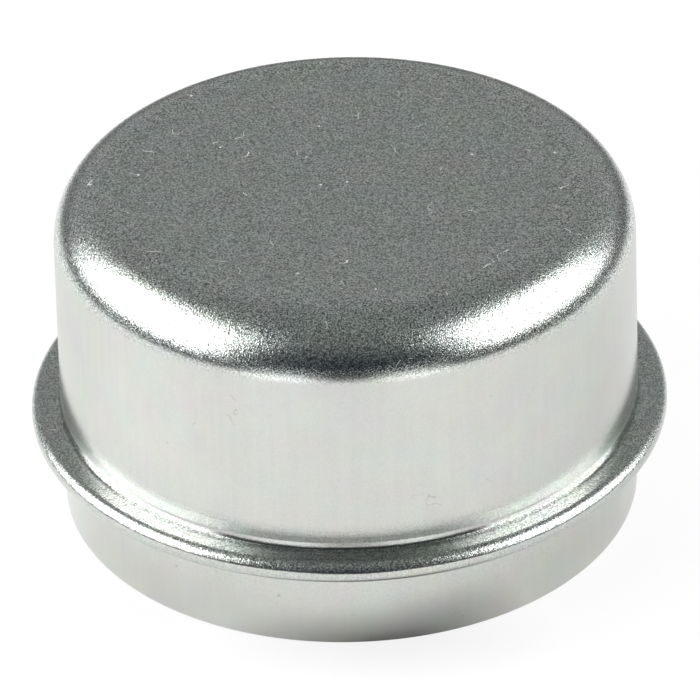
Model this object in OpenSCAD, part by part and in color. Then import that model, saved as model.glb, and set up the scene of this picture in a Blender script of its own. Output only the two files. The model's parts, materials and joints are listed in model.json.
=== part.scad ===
// Hub grease cap: one cup, deep drawn from steel sheet.
// The wall runs down from a flat crown and folds back on itself in a bead.
// The sheet then turns down into a collar, which presses into the hub's bore.
// The origin is at the centre of the open rim, with +Z towards the crown.

/* [Collar] */
// Outside diameter of the collar, a press fit in the hub
collar_d = 50.3; // [36:0.1:80]
// Height of the collar, from the open rim to the seat under the bead
collar_h = 7.7; // [3:0.1:14]
// Radius on the cut edge of the sheet, which leads the collar into the bore
edge_r = 0.35; // [0.1:0.05:0.5]
// Radius of the bend between the seat and the collar
seat_r = 0.3; // [0.1:0.05:0.8]

/* [Bead] */
// How far the bead stands out past the collar
bead_reach = 2.55; // [2.4:0.05:5]
// Angle at which the upper face of the bead falls towards the rim
bead_fall = 1; // [0:1:15]
// Gap that stays open between the two layers, at the fold
fold_gap = 0.2; // [0.05:0.05:0.5]

/* [Wall] */
// Thickness of the sheet
sheet_t = 1; // [0.7:0.05:1.2]
// How far the foot of the wall stands in from the collar
wall_inset = 0; // [0:0.05:2]
// Radius of the bend between the wall and the bead
foot_r = 0.4; // [0.2:0.05:0.8]
// Angle at which the wall narrows towards the crown
draft = 1.2; // [0:0.1:4]

/* [Crown] */
// Overall height, from the open rim to the flat crown
cap_h = 30.3; // [26:0.1:60]
// Outside radius of the bend between the wall and the crown
corner_r = 4.9; // [2:0.1:9]

/* [Hidden] */
$fn = 80;

// Degrees from point to point on the corner bend and on the small bends
corner_step = 6;
bend_step = 15;

// Outside radius of the fold at the bead's rim
fold_r = sheet_t + fold_gap / 2;

// Directions square to the wall's outer face and to the bead's upper face
wall_out = [cos(draft), sin(draft)];
bead_up = [sin(bead_fall), cos(bead_fall)];

// Centres of the bends, as radius and height, from the rim of the bead upwards
seat_at = [collar_d / 2 + seat_r, collar_h - seat_r];
fold_at = [collar_d / 2 + bead_reach - fold_r, collar_h + fold_r];
foot_x = collar_d / 2 - wall_inset + foot_r;
foot_z = fold_at.y + (fold_r + foot_r - (foot_x - fold_at.x) * bead_up.x) / bead_up.y;
foot_at = [foot_x, foot_z];
corner_z = cap_h - corner_r;
corner_x = (foot_at * wall_out - foot_r - corner_r - corner_z * wall_out.y) / wall_out.x;
corner_at = [corner_x, corner_z];

// Points of an arc about a centre, from one angle to another
function arc(at, r, from, to, step) =
    let (n = ceil(abs(to - from) / step))
    [for (i = [0:n]) let (a = from + (to - from) * i / n) at + r * [cos(a), sin(a)]];

// One face of the sheet, from the crown down to the open rim.
// The face lies depth inside the outer face, so each bend keeps its centre.
function face(depth) = concat(
    [[0, cap_h - depth]],
    arc(corner_at, corner_r - depth, 90, draft, corner_step),
    arc(foot_at, foot_r + depth, 180 + draft, 270 - bead_fall, bend_step),
    arc(fold_at, fold_r - depth, 90 - bead_fall, -90, bend_step),
    arc(seat_at, seat_r + depth, 90, 180, bend_step)
);

// The cut edge at the open rim, rounded on its outer corner
function cut_edge() = concat(
    arc([collar_d / 2 - edge_r, edge_r], edge_r, 0, -90, bend_step),
    [[collar_d / 2 - sheet_t, 0]]
);

// Section of the sheet on one side of the axis
module sheet_section() {
    inner = face(sheet_t);
    polygon(concat(face(0), cut_edge(), [for (i = [len(inner) - 1:-1:0]) inner[i]]));
}

module grease_cap() {
    color([0.76, 0.78, 0.77])
        rotate_extrude()
            sheet_section();
}

grease_cap();
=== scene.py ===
"""Looks of a zinc-plated hub grease cap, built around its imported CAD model. Lengths are in metres."""

import json
import math

import bpy
from mathutils import Matrix, Vector


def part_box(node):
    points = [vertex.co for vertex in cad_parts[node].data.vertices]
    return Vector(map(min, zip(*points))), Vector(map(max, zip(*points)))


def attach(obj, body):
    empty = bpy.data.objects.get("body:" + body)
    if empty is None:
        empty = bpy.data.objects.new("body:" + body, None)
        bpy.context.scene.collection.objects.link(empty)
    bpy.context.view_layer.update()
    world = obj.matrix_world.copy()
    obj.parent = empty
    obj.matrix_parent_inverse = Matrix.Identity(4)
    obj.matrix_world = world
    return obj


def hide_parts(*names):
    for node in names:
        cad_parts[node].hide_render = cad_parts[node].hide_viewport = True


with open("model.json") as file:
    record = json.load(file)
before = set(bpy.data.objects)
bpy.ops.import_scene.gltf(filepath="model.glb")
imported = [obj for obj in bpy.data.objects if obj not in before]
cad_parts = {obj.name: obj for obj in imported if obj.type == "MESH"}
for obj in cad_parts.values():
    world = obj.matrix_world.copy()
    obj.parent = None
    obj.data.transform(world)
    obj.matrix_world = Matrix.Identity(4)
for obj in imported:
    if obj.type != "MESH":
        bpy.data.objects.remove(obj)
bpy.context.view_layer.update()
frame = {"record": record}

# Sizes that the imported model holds
MOUNTS = {mount["name"]: mount for mount in frame["record"]["mounts"]}
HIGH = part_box("grease_cap")[1]
CAP_H = HIGH[2]
BEAD_R = HIGH[0]
COLLAR_R = MOUNTS["collar"]["dims"]["r_mm"] / 1000
SEAT_Z = MOUNTS["bead_seat"]["pos_m"][2]

# The sheet and its bends. The sheet is a little thinner than the CAD's, as the bead in the photo is thin.
SHEET_T = 0.0009
FOLD_GAP = 0.0002
FOLD_R = SHEET_T + FOLD_GAP / 2
FOOT_R = 0.0002
SEAT_R = 0.0003
EDGE_R = 0.00035
CORNER_R = 0.0049
DRAFT = math.radians(1.2)
BEAD_FALL = math.radians(1)

# The narrow strip that flares out at the wall's foot, and the fine groove between it and the bead
STRIP_H = 0.0006
STRIP_FLARE = math.radians(13.3)
STRIP_EDGE = 0.05
GROOVE_D = 0.00002
GROOVE_W = 0.0001

# Where one finish ends and the next begins: angles on the corner and the fold, and a height on the wall
CORNER_END = math.radians(15)
FOLD_CREASE = math.radians(28)
SEAM_FROM = math.radians(-38)
WALL_FOOT_H = 0.0017

# Fineness of the mesh
TURN_STEPS = 480
CORNER_STEPS = 30
BEND_STEPS = 8
CROWN_RINGS = 12
WALL_RINGS = 14
FOOT_RINGS = 4
BEAD_RINGS = 3
SEAT_RINGS = 2
COLLAR_RINGS = 8
ON_AXIS = 1e-9
SHARP_ANGLE = math.radians(40)

# The zinc plate
SMOOTH_ZINC = (0.575, 0.582, 0.553, 1)
GRAINY_ZINC = (0.555, 0.59, 0.565, 1)
GRAIN_SIZE = 0.00014
GRAIN_CONTRAST = 0.62
RELIEF_SIZE = 0.00013
RELIEF_DEPTH = 0.000022
CLOUD_SIZE = 0.0035
CLOUD_TINT = 0.038
STREAK_WIDTH = 0.0006
STREAK_LENGTH = 0.012
STREAK_CONTRAST = 0.014
NOISE_RANGE = (0.3, 0.7)

# Specks and hairlines on the plate, light on its grainy parts and dark on its smooth parts
SPECK_SPACING = 0.0022
SPECK_R = 0.00012
SPECK_SHARE = 0.25
HAIR_SPACING = 0.004
HAIR_WIDTH = 0.000022
HAIR_BEND = 0.0012
HAIR_PATCH = 0.0021
HAIR_SHARE = 0.27
SMOOTH_MARKS = -0.15
LINT = (0.5, 0.52, 0.5, 1)

# Finishes along the section: how much grain the plate has, its relief, its roughness and its tone, which
# paints shade into the colour
FINISH_NAMES = ("grain", "relief", "rough", "tone_and_shade")
CROWN = (1, 1, 0.3, 1)
CORNER = (1.3, 1.25, 0.27, 1)
CORNER_LOW = (1.4, 1, 0.2, 1)
WALL_TOP = (0.9, 0.6, 0.18, 1)
WALL = (0.06, 0.04, 0.22, 1)
# Painted shade: the last value darkens the plate from the wall's foot round the bead to the crevice under its
# rim
WALL_FOOT = (0.45, 0.45, 0.34, 0.82)
STRIP = (0.15, 0.15, 0.12, 0.79)
BEAD = (0.9, 0.7, 0.26, 0.95)
FOLD = (1.3, 1.2, 0.25, 0.84)
RIM = (0.3, 0.3, 0.18, 0.94)
SEAM = (0.3, 0.3, 0.4, 0.8)
COLLAR = (0.12, 0.08, 0.18, 1)
COLLAR_END = (0, 0, 0.25, 1)
INSIDE = (0.3, 0.3, 0.3, 1)

# The camera, as fitted to the outline of the photographed cap
CAMERA_TARGET = Vector((0.00017, 0, 0.01306))
CAMERA_DISTANCE = 0.4002
CAMERA_ELEVATION = math.radians(32.8)
CAMERA_ROLL = math.radians(1.606)
CAMERA_LENS_MM = 237.1
CAMERA_CLIP = 0.01
SENSOR_MM = 36

# The floor: a white sheet that is shaded in places, with a grey studio beyond. The two glows are the shares
# of it that shine by themselves, to the camera and to the metal. The rest is lit, and keeps the cap's shadow.
FLOOR_HALF = 3.0
FLOOR_SEEN = 1
FLOOR_GLOW = 0.86
MIRRORED_GLOW = 0.42
FLOOR_SHEET = {"centre": (0, 0, 0), "start": 0.118, "end": 0.14, "low": 0.98, "high": 0.06}
FLOOR_SHADES = (
    {"centre": (-0.002, -0.116, 0), "start": 0.012, "end": 0.026, "low": 0.25},
    {"centre": (-0.034, 0.044, 0), "start": 0.01, "end": 0.032, "low": 0.84},
    {"centre": (0.034, 0.044, 0), "start": 0.01, "end": 0.032, "low": 0.84},
)
CONTACT_SHADE = {
    "centre": (0.003, -0.0245, 0),
    "start": 0.0025,
    "end": 0.015,
    "low": 0.25,
    "stretch": (1, 2.3, 1),
}

# Brighter patches of floor that only show in the metal: one on the left, and two rows that lead away in
# front, each with its direction and level
LEFT_GLOW = {"centre": (-0.043, -0.012, 0), "start": 0.008, "end": 0.03, "low": 0.35, "high": 0}
FRONT_LIGHTS = ((math.radians(-23), 2.2), (math.radians(22), 2))
FRONT_LIGHTS_AT = (0.11, 0.17, 0.28, 0.46, 0.75)
FRONT_LIGHTS_CORE = 0.11
FRONT_LIGHTS_EDGE = 0.28

# The lamps and the room
LEFT_SOFTBOX = {
    "azimuth": -97,
    "distance": 0.34,
    "low": 0.051,
    "width": 0.455,
    "height": 0.39,
    "radiance": 4.8,
}
RIGHT_SOFTBOX = {
    "azimuth": 100,
    "distance": 0.6,
    "low": 0.09,
    "width": 0.75,
    "height": 0.68,
    "radiance": 3.9,
}
TOP_LAMP = {"place": (-0.04, 0.24, 0.44), "size": 0.36, "radiance": 1.9}
WORLD_BACK = (0.4, 0.4, 0.4, 1)
WORLD_FRONT = (0.019, 0.027, 0.037, 1)
WORLD_TOP = (0.213, 0.222, 0.217, 1)
WORLD_TOP_FROM = 0.2
WORLD_TOP_SHARE = 0.8


def turned(piece_name, section):
    """A closed mesh, made by turning a section of (radius, height, finish) points round the Z axis."""
    verts, finishes, rings, faces = [], [], [], []
    for r, z, finish in section:
        if r < ON_AXIS:
            rings.append([len(verts)] * TURN_STEPS)
            verts.append((0, 0, z))
            finishes.append(finish)
            continue
        rings.append(list(range(len(verts), len(verts) + TURN_STEPS)))
        for i in range(TURN_STEPS):
            a = 2 * math.pi * i / TURN_STEPS
            verts.append((r * math.cos(a), r * math.sin(a), z))
            finishes.append(finish)
    for upper, lower in zip(rings, rings[1:]):
        for i in range(TURN_STEPS):
            j = (i + 1) % TURN_STEPS
            corners = [upper[i], lower[i], lower[j], upper[j]]
            faces.append(list(dict.fromkeys(corners)))
    mesh = bpy.data.meshes.new(piece_name)
    mesh.from_pydata(verts, [], faces)
    for i, name in enumerate(FINISH_NAMES):
        values = [finish[i] for finish in finishes]
        mesh.attributes.new(name, "FLOAT", "POINT").data.foreach_set("value", values)
    mesh.update()
    mesh.shade_smooth()
    mesh.set_sharp_from_angle(angle=SHARP_ANGLE)
    piece = bpy.data.objects.new(piece_name, mesh)
    bpy.context.scene.collection.objects.link(piece)
    return piece


def blend(first, second, t):
    """The finish that lies a share t of the way from one finish to another."""
    return tuple(a + (b - a) * t for a, b in zip(first, second))


def arc(centre, r, start, end, steps, finish, last=None):
    """Points of an arc about a centre, from one angle to another, in radians."""
    points = []
    for i in range(steps + 1):
        t = i / steps
        a = start + (end - start) * t
        place = (centre[0] + r * math.cos(a), centre[1] + r * math.sin(a))
        points.append((*place, blend(finish, last or finish, t)))
    return points


def line(start, end, steps, finish, last=None):
    """Points between two points, without the two ends."""
    points = []
    for i in range(1, steps):
        t = i / steps
        place = (start[0] + (end[0] - start[0]) * t, start[1] + (end[1] - start[1]) * t)
        points.append((*place, blend(finish, last or finish, t)))
    return points


def bend_centres():
    """Centres of the corner, foot, fold and seat bends, as radius and height."""
    fold = Vector((BEAD_R - FOLD_R, SEAT_Z + FOLD_R))
    seat = Vector((COLLAR_R + SEAT_R, SEAT_Z - SEAT_R))
    foot_x = COLLAR_R + FOOT_R
    rise = FOLD_R + FOOT_R - (foot_x - fold.x) * math.sin(BEAD_FALL)
    foot = Vector((foot_x, fold.y + rise / math.cos(BEAD_FALL)))
    wall_out = Vector((math.cos(DRAFT), math.sin(DRAFT)))
    corner_z = CAP_H - CORNER_R
    corner_x = (foot.dot(wall_out) - FOOT_R - CORNER_R - corner_z * wall_out.y) / wall_out.x
    return Vector((corner_x, corner_z)), foot, fold, seat


def corner_bend(centre):
    """The corner outside. It is grainy down to where the wall was ironed, and turns smooth below."""
    grainy = arc(centre, CORNER_R, math.pi / 2, CORNER_END, CORNER_STEPS, CORNER, CORNER_LOW)
    smooth = arc(centre, CORNER_R, CORNER_END, DRAFT, BEND_STEPS, WALL_TOP, WALL)
    return grainy + smooth[1:]


def foot_strip(wall_x, fold):
    """The foot of the wall outside: a narrow smooth strip that flares out, down to the bead's crease."""
    end_x = wall_x + STRIP_H * math.tan(STRIP_FLARE)
    rise = FOLD_R - (end_x - fold.x) * math.sin(BEAD_FALL)
    end = Vector((end_x, fold.y + rise / math.cos(BEAD_FALL) - GROOVE_D))
    top = Vector((wall_x, end.y + STRIP_H))
    near = STRIP_EDGE * (end - top)
    beyond = end + Vector((GROOVE_W, GROOVE_D))
    steps = [(top, WALL_FOOT), (top + near, STRIP), (end - near, STRIP), (end, BEAD), (beyond, BEAD)]
    return [(point.x, point.y, finish) for point, finish in steps]


def wall_points(top, foot):
    """The wall outside, which turns grainy again near its foot, and darker there with painted shade."""
    t = 1 - WALL_FOOT_H / (top[1] - foot[1])
    turn = (top[0] + (foot[0] - top[0]) * t, top[1] + (foot[1] - top[1]) * t, WALL)
    return line(top, turn, WALL_RINGS, WALL) + [turn] + line(turn, foot, FOOT_RINGS, WALL, WALL_FOOT)


def outer_face():
    """The outer face of the sheet, from the middle of the crown down to the cut edge."""
    corner, foot, fold, seat = bend_centres()
    right = math.pi / 2
    corner_points = corner_bend(corner)
    foot_points = foot_strip(foot.x - FOOT_R, fold)
    upper = arc(fold, FOLD_R, right - BEAD_FALL, FOLD_CREASE, 2 * BEND_STEPS, BEAD, FOLD)
    lower = arc(fold, FOLD_R, FOLD_CREASE, SEAM_FROM, BEND_STEPS, RIM)
    seam = arc(fold, FOLD_R, SEAM_FROM, -right, BEND_STEPS, SEAM)
    seat_points = arc(seat, SEAT_R, right, math.pi, BEND_STEPS, SEAM, COLLAR)
    edge = arc((COLLAR_R - EDGE_R, EDGE_R), EDGE_R, 0, -right, BEND_STEPS, COLLAR_END)
    middle = (0, CAP_H, CROWN)
    return (
        [middle] + line(middle, corner_points[0], CROWN_RINGS, CROWN) + corner_points
        + wall_points(corner_points[-1], foot_points[0]) + foot_points
        + line(foot_points[-1], upper[0], BEAD_RINGS, BEAD) + upper + lower[1:] + seam[1:]
        + line(seam[-1], seat_points[0], SEAT_RINGS, SEAM) + seat_points
        + line(seat_points[-1], edge[0], COLLAR_RINGS, COLLAR, COLLAR_END) + edge
    )


def inner_face():
    """The inner face of the sheet, from the open rim up to the middle of the crown."""
    corner, foot, fold, seat = bend_centres()
    right = math.pi / 2
    points = [(COLLAR_R - SHEET_T, 0, INSIDE)]
    points += arc(seat, SEAT_R + SHEET_T, math.pi, right, BEND_STEPS, INSIDE)
    points += arc(fold, FOLD_R - SHEET_T, -right, right - BEAD_FALL, 2 * BEND_STEPS, INSIDE)
    points += arc(foot, FOOT_R + SHEET_T, 3 * right - BEAD_FALL, math.pi + DRAFT, BEND_STEPS, INSIDE)
    points += arc(corner, CORNER_R - SHEET_T, DRAFT, right, CORNER_STEPS, INSIDE)
    return points + [(0, CAP_H - SHEET_T, INSIDE)]


def new_material(name):
    """An empty material and its node tree."""
    material = bpy.data.materials.new(name)
    material.use_nodes = True
    material.node_tree.nodes.clear()
    return material, material.node_tree


def feed(tree, socket, value):
    """Links a socket to another one, or sets it to a plain value."""
    if isinstance(value, bpy.types.NodeSocket):
        tree.links.new(value, socket)
    else:
        socket.default_value = value


def calculate(tree, operation, *values):
    """One step of arithmetic on sockets and numbers."""
    node = tree.nodes.new("ShaderNodeMath")
    node.operation = operation
    for socket, value in zip(node.inputs, values):
        feed(tree, socket, value)
    return node.outputs["Value"]


def calculate_vector(tree, operation, *values):
    """One step of arithmetic on vectors. A distance comes out as a number."""
    node = tree.nodes.new("ShaderNodeVectorMath")
    node.operation = operation
    for socket, value in zip(node.inputs, values):
        feed(tree, socket, value)
    return node.outputs["Value" if operation == "DISTANCE" else "Vector"]


def mapped(tree, value, source, target):
    """Maps one range of values to another, and stays inside it."""
    node = tree.nodes.new("ShaderNodeMapRange")
    limits = zip(("From Min", "From Max", "To Min", "To Max"), (*source, *target))
    for name, limit in limits:
        node.inputs[name].default_value = limit
    tree.links.new(value, node.inputs["Value"])
    return node.outputs["Result"]


def mixed(tree, factor, first, second, kind="RGBA", blend_type="MIX"):
    """Goes from one colour or number to another with a factor, which for numbers may pass 1."""
    node = tree.nodes.new("ShaderNodeMix")
    node.data_type = kind
    node.blend_type = blend_type
    node.clamp_factor = kind == "RGBA"
    feed(tree, node.inputs["Factor"], factor)
    feed(tree, node.inputs["A"], first)
    feed(tree, node.inputs["B"], second)
    return node.outputs["Result"]


def coordinates(tree, kind):
    """Texture coordinates of one kind."""
    return tree.nodes.new("ShaderNodeTexCoord").outputs[kind]


def attribute(tree, name):
    """One value of the finish, as it is stored on the mesh."""
    node = tree.nodes.new("ShaderNodeAttribute")
    node.attribute_name = name
    return node.outputs["Fac"]


def add_noise(tree, place, size, detail):
    """A noise whose cells have their own size along each axis."""
    texture = tree.nodes.new("ShaderNodeTexNoise")
    texture.inputs["Scale"].default_value = 1
    texture.inputs["Detail"].default_value = detail
    scale = [1 / length for length in size]
    tree.links.new(calculate_vector(tree, "MULTIPLY", place, scale), texture.inputs["Vector"])
    return texture


def around_one(tree, noise, contrast):
    """Turns a noise into a factor that varies around 1."""
    return mapped(tree, noise.outputs["Fac"], NOISE_RANGE, (1 - contrast, 1 + contrast))


def add_specks(tree, place):
    """Small round specks, thinly scattered."""
    cells = tree.nodes.new("ShaderNodeTexVoronoi")
    cells.inputs["Scale"].default_value = 1 / SPECK_SPACING
    tree.links.new(place, cells.inputs["Vector"])
    chosen = tree.nodes.new("ShaderNodeSeparateColor")
    tree.links.new(cells.outputs["Color"], chosen.inputs["Color"])
    few = calculate(tree, "LESS_THAN", chosen.outputs["Red"], SPECK_SHARE)
    dots = calculate(tree, "LESS_THAN", cells.outputs["Distance"], SPECK_R / SPECK_SPACING)
    return calculate(tree, "MULTIPLY", dots, few)


def add_hairs(tree, place):
    """Short curved hairlines: pieces of the bent edges of large cells."""
    bend = add_noise(tree, place, (HAIR_BEND,) * 3, 0)
    bent = calculate_vector(tree, "MULTIPLY_ADD", bend.outputs["Color"], (HAIR_BEND,) * 3, place)
    edges = tree.nodes.new("ShaderNodeTexVoronoi")
    edges.feature = "DISTANCE_TO_EDGE"
    edges.inputs["Scale"].default_value = 1 / HAIR_SPACING
    tree.links.new(bent, edges.inputs["Vector"])
    patches = add_noise(tree, place, (HAIR_PATCH,) * 3, 0)
    where = calculate(tree, "LESS_THAN", patches.outputs["Fac"], HAIR_SHARE)
    hairs = calculate(tree, "LESS_THAN", edges.outputs["Distance"], HAIR_WIDTH / HAIR_SPACING)
    return calculate(tree, "MULTIPLY", hairs, where)


def plate_tone_and_shade(tree, place, grain, marks):
    """How light the plate is: its grain, faint upright streaks, its tone with painted shade along the
    section, and darker marks.
    """
    crystals = around_one(tree, add_noise(tree, place, (GRAIN_SIZE,) * 3, 1), GRAIN_CONTRAST)
    speckle = mixed(tree, grain, 1, crystals, kind="FLOAT")
    streaks = add_noise(tree, place, (STREAK_WIDTH, STREAK_WIDTH, STREAK_LENGTH), 2)
    tone_and_shade = calculate(tree, "MULTIPLY", speckle, around_one(tree, streaks, STREAK_CONTRAST))
    # Painted shade along the section, as the mesh's finish stores it
    tone_and_shade = calculate(tree, "MULTIPLY", tone_and_shade, attribute(tree, "tone_and_shade"))
    return calculate(tree, "MULTIPLY_ADD", marks, SMOOTH_MARKS, tone_and_shade)


def plate_colour(tree, place, grain, tone_and_shade):
    """The zinc's colour, with faint clouds of tint, at a given tone that holds painted shade."""
    base = mixed(tree, grain, SMOOTH_ZINC, GRAINY_ZINC)
    cloud = add_noise(tree, place, (CLOUD_SIZE,) * 3, 2)
    tint = mixed(tree, CLOUD_TINT, base, cloud.outputs["Color"], blend_type="LINEAR_LIGHT")
    node = tree.nodes.new("ShaderNodeVectorMath")
    node.operation = "SCALE"
    tree.links.new(tint, node.inputs[0])
    tree.links.new(tone_and_shade, node.inputs["Scale"])
    return node.outputs["Vector"]


def add_relief(tree, place):
    """Fine bumps, as high as the mesh's relief says."""
    bumps = add_noise(tree, place, (RELIEF_SIZE,) * 3, 2)
    bump = tree.nodes.new("ShaderNodeBump")
    bump.inputs["Distance"].default_value = RELIEF_DEPTH
    tree.links.new(attribute(tree, "relief"), bump.inputs["Strength"])
    tree.links.new(bumps.outputs["Fac"], bump.inputs["Height"])
    return bump.outputs["Normal"]


def zinc_material():
    """Zinc plate: grainy where the mesh's finish says so, ironed smooth elsewhere. Lint isn't metal."""
    material, tree = new_material("zinc_plate")
    out = tree.nodes.new("ShaderNodeOutputMaterial")
    shader = tree.nodes.new("ShaderNodeBsdfPrincipled")
    place = coordinates(tree, "Object")
    grain = attribute(tree, "grain")
    marks = calculate(tree, "MAXIMUM", add_specks(tree, place), add_hairs(tree, place))
    lint = calculate(tree, "MULTIPLY", marks, grain)
    metal = calculate(tree, "SUBTRACT", 1, lint)
    metal.node.use_clamp = True
    colour = plate_colour(tree, place, grain, plate_tone_and_shade(tree, place, grain, marks))
    feed(tree, shader.inputs["Base Color"], mixed(tree, lint, colour, LINT))
    feed(tree, shader.inputs["Metallic"], metal)
    feed(tree, shader.inputs["Roughness"], attribute(tree, "rough"))
    feed(tree, shader.inputs["Normal"], add_relief(tree, place))
    tree.links.new(shader.outputs["BSDF"], out.inputs["Surface"])
    return material


def shaded(tree, place, centre, start, end, low=0, high=1, stretch=(1, 1, 1)):
    """A factor that goes from low to high with the distance from a centre, in a stretched space."""
    stretched = calculate_vector(tree, "MULTIPLY", place, stretch)
    middle = [x * k for x, k in zip(centre, stretch)]
    away = calculate_vector(tree, "DISTANCE", stretched, middle)
    return mapped(tree, away, (start, end), (low, high))


def floor_colour(tree, place):
    """White round the cap, with a shade where it stands and others about it, and grey further out."""
    colour = shaded(tree, place, **FLOOR_SHEET)
    for shade in (*FLOOR_SHADES, CONTACT_SHADE):
        colour = calculate(tree, "MULTIPLY", colour, shaded(tree, place, **shade))
    return colour


def mirrored_floor(tree, place, colour):
    """The floor as the metal mirrors it, with its brighter patches."""
    strength = calculate(tree, "ADD", colour, shaded(tree, place, **LEFT_GLOW))
    for azimuth, level in FRONT_LIGHTS:
        for distance in FRONT_LIGHTS_AT:
            centre = (distance * math.sin(azimuth), -distance * math.cos(azimuth), 0)
            core = FRONT_LIGHTS_CORE * distance
            edge = FRONT_LIGHTS_EDGE * distance
            patch = shaded(tree, place, centre, core, edge, level, 0)
            strength = calculate(tree, "ADD", strength, patch)
    return strength


def floor_material():
    """A white floor that glows in part to the camera and, less, to what mirrors it."""
    material, tree = new_material("floor")
    out = tree.nodes.new("ShaderNodeOutputMaterial")
    shader = tree.nodes.new("ShaderNodeBsdfDiffuse")
    glow = tree.nodes.new("ShaderNodeEmission")
    mix = tree.nodes.new("ShaderNodeMixShader")
    ray = tree.nodes.new("ShaderNodeLightPath").outputs
    place = coordinates(tree, "Object")
    colour = floor_colour(tree, place)
    seen = mixed(tree, ray["Is Camera Ray"], mirrored_floor(tree, place, colour), FLOOR_SEEN, kind="FLOAT")
    mirrored = calculate(tree, "MAXIMUM", ray["Is Glossy Ray"], ray["Is Transmission Ray"])
    dimmed = calculate(tree, "MULTIPLY", mirrored, MIRRORED_GLOW)
    share = calculate(tree, "MULTIPLY_ADD", ray["Is Camera Ray"], FLOOR_GLOW, dimmed)
    feed(tree, shader.inputs["Color"], colour)
    feed(tree, glow.inputs["Strength"], seen)
    feed(tree, mix.inputs["Fac"], share)
    tree.links.new(shader.outputs["BSDF"], mix.inputs[1])
    tree.links.new(glow.outputs["Emission"], mix.inputs[2])
    tree.links.new(mix.outputs["Shader"], out.inputs["Surface"])
    return material


def add_floor():
    """A wide flat floor, which is not a part of the cap."""
    mesh = bpy.data.meshes.new("floor")
    h = FLOOR_HALF
    mesh.from_pydata([(-h, -h, 0), (h, -h, 0), (h, h, 0), (-h, h, 0)], [], [(0, 1, 2, 3)])
    mesh.materials.append(floor_material())
    floor = bpy.data.objects.new("floor", mesh)
    bpy.context.scene.collection.objects.link(floor)


def add_lamp(name, place, aim, width, height, radiance):
    """A soft area lamp that the camera doesn't see."""
    lamp = bpy.data.lights.new(name, "AREA")
    lamp.shape = "RECTANGLE"
    lamp.size = width
    lamp.size_y = height
    lamp.energy = radiance * math.pi * width * height
    piece = bpy.data.objects.new(name, lamp)
    piece.location = place
    piece.rotation_euler = Vector(aim).to_track_quat("-Z", "Y").to_euler()
    piece.visible_camera = False
    bpy.context.scene.collection.objects.link(piece)
    return piece


def add_softbox(name, azimuth, distance, low, width, height, radiance):
    """An upright lamp that faces the cap. Azimuth 0 is behind the cap and 90 to its right.

    The height of the lamp's lower edge is low.
    """
    a = math.radians(azimuth)
    place = (distance * math.sin(a), distance * math.cos(a), low + height / 2)
    add_lamp(name, place, (-math.sin(a), -math.cos(a), 0), width, height, radiance)


def add_top_lamp(place, size, radiance):
    """A lamp overhead that lights the floor, and isn't mirrored in the metal."""
    lamp = add_lamp("top_lamp", place, -Vector(place), size, size, radiance)
    lamp.visible_glossy = False


def add_world():
    """A plain grey room: lighter behind the cap, darker overhead and in front."""
    world = bpy.data.worlds.new("studio")
    bpy.context.scene.world = world
    world.use_nodes = True
    tree = world.node_tree
    split = tree.nodes.new("ShaderNodeSeparateXYZ")
    tree.links.new(coordinates(tree, "Generated"), split.inputs[0])
    depth = mapped(tree, split.outputs["Y"], (-1, 1), (0, 1))
    height = mapped(tree, split.outputs["Z"], (WORLD_TOP_FROM, 1), (0, WORLD_TOP_SHARE))
    sides = mixed(tree, depth, WORLD_FRONT, WORLD_BACK)
    feed(tree, tree.nodes["Background"].inputs["Color"], mixed(tree, height, sides, WORLD_TOP))


def add_camera():
    """The camera of the photo, which looks down at the cap's front."""
    data = bpy.data.cameras.new("camera")
    data.lens = CAMERA_LENS_MM
    data.sensor_width = SENSOR_MM
    data.clip_start = CAMERA_CLIP
    camera = bpy.data.objects.new("camera", data)
    bpy.context.scene.collection.objects.link(camera)
    back = Vector((0, -math.cos(CAMERA_ELEVATION), math.sin(CAMERA_ELEVATION)))
    look = (-back).to_track_quat("-Z", "Y").to_matrix().to_4x4()
    place = Matrix.Translation(CAMERA_TARGET + CAMERA_DISTANCE * back)
    camera.matrix_world = place @ look @ Matrix.Rotation(-CAMERA_ROLL, 4, "Z")
    bpy.context.scene.camera = camera


add_camera()
add_floor()
add_softbox("softbox_left", **LEFT_SOFTBOX)
add_softbox("softbox_right", **RIGHT_SOFTBOX)
add_top_lamp(**TOP_LAMP)
add_world()
bpy.context.scene.view_settings.view_transform = "Standard"

shell = turned("cap_shell", outer_face() + inner_face())
shell.data.materials.append(zinc_material())
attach(shell, "root")
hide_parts("grease_cap")
